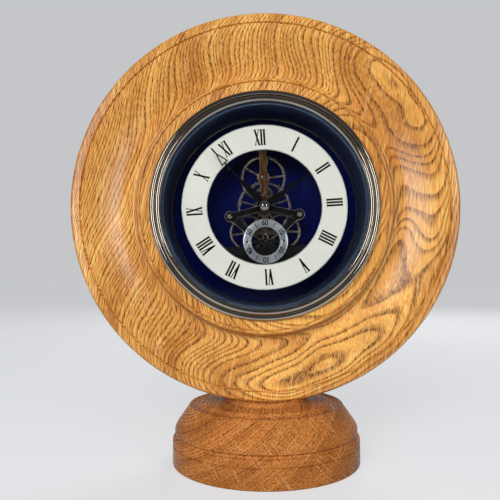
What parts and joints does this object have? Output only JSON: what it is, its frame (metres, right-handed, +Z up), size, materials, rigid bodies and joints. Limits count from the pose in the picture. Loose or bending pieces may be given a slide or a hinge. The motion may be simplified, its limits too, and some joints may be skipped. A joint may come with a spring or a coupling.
{
  "type": "wooden desk clock",
  "caption": "Turned oak disc on a round oak base, holding a chrome-bezelled skeleton clock with an open wheel train, Roman chapter ring, hands and a battery drive.",
  "frame": {"origin": "centre of the base's underside", "axes": "+Z up, the dial faces -Y, +X to the viewer's right"},
  "size_m": [0.254, 0.125, 0.2965],
  "materials": {
    "disc_oak": "turned oak, satin lacquer",
    "base_oak": "turned oak, satin lacquer",
    "dowel_wood": "plain",
    "chrome": "polished",
    "clear_lens": "clear",
    "grey_metal": "satin",
    "band_rubber": "matt",
    "navy_lacquer": "gloss",
    "ivory_enamel": "satin",
    "black_lacquer": "gloss",
    "bronze": "satin",
    "wheel_brass": "satin",
    "steel": "polished",
    "silvered": "satin",
    "black_hand": "matt black",
    "black_plastic": "moulded",
    "coil_copper": "enamelled wire",
    "board_green": "circuit board",
    "cell_wrap": "plain wrap"
  },
  "bodies": {
    "clock_case": {"oak_disc": "disc_oak", "oak_base": "base_oak", "joint_dowel": "dowel_wood", "bezel": "chrome", "lens": "clear_lens", "insert_can": "grey_metal", "grip_band": "band_rubber", "back_plate": "navy_lacquer", "rear_screws": "steel", "chapter_ring": "ivory_enamel", "chapter_posts": "steel", "bridge": "black_lacquer", "top_bar": "bronze", "pivot_cap": "chrome", "rear_frame": "black_lacquer", "pillars": "steel", "top_pillar": "steel", "ball_nuts": "chrome", "seconds_ring": "silvered", "ring_screws": "black_lacquer", "motion_stud": "steel", "drive_housing": "black_plastic", "stator": "steel", "coil": "coil_copper", "circuit_board": "board_green", "crystal": "steel", "contacts": "steel"},
    "minute_works": {"minute_arbor": "steel", "centre_wheel": "wheel_brass", "cannon_pinion": "wheel_brass", "dome_nut": "chrome", "minute_hand": "black_hand", "setting_knob": "black_plastic"},
    "hour_works": {"hour_wheel": "wheel_brass", "hour_pipe": "wheel_brass", "hour_hand": "black_hand"},
    "motion_works": {"motion_wheel": "wheel_brass", "motion_pinion": "steel"},
    "top_works": {"top_arbor": "steel", "top_wheel": "wheel_brass"},
    "third_works": {"third_arbor": "steel", "third_wheel": "wheel_brass"},
    "seconds_works": {"seconds_arbor": "steel", "seconds_wheel": "wheel_brass", "seconds_hand": "black_hand"},
    "intermediate_works": {"intermediate_arbor": "steel", "intermediate_wheel": "wheel_brass"},
    "rotor_works": {"rotor_arbor": "steel", "rotor_magnet": "steel"},
    "cell": {"battery": "cell_wrap"}
  },
  "joints": [
    {"name": "minute_turn", "type": "hinge", "parent": "clock_case", "child": "minute_works", "pos_m": [0, -0.004, 0.1695], "axis": [0, 1, 0], "continuous": true},
    {"name": "hour_turn", "type": "hinge", "parent": "clock_case", "child": "hour_works", "pos_m": [0, -0.004, 0.1695], "axis": [0, 1, 0], "continuous": true},
    {"name": "motion_turn", "type": "hinge", "parent": "clock_case", "child": "motion_works", "pos_m": [-0.00021, -0.004, 0.1779], "axis": [0, 1, 0], "continuous": true},
    {"name": "top_turn", "type": "hinge", "parent": "clock_case", "child": "top_works", "pos_m": [-0.00049, -0.004, 0.18965], "axis": [0, 1, 0], "continuous": true},
    {"name": "third_turn", "type": "hinge", "parent": "clock_case", "child": "third_works", "pos_m": [-0.01144, -0.004, 0.1529], "axis": [0, 1, 0], "continuous": true},
    {"name": "seconds_turn", "type": "hinge", "parent": "clock_case", "child": "seconds_works", "pos_m": [0.00056, -0.004, 0.14651], "axis": [0, 1, 0], "continuous": true},
    {"name": "intermediate_turn", "type": "hinge", "parent": "clock_case", "child": "intermediate_works", "pos_m": [0.01224, -0.004, 0.15348], "axis": [0, 1, 0], "continuous": true},
    {"name": "rotor_turn", "type": "hinge", "parent": "clock_case", "child": "rotor_works", "pos_m": [0.01647, -0.004, 0.13909], "axis": [0, 1, 0], "continuous": true},
    {"name": "battery_lift", "type": "slide", "parent": "clock_case", "child": "cell", "axis": [0, 1, 0], "range_m": [0, 0.03]}
  ],
  "couplings": [
    {"joint": "hour_turn", "follows": "minute_turn", "ratio": 0.083333},
    {"joint": "motion_turn", "follows": "minute_turn", "ratio": -0.33333},
    {"joint": "top_turn", "follows": "minute_turn", "ratio": -8},
    {"joint": "third_turn", "follows": "minute_turn", "ratio": -8},
    {"joint": "seconds_turn", "follows": "minute_turn", "ratio": 60},
    {"joint": "intermediate_turn", "follows": "minute_turn", "ratio": -450},
    {"joint": "rotor_turn", "follows": "minute_turn", "ratio": 1800}
  ]
}
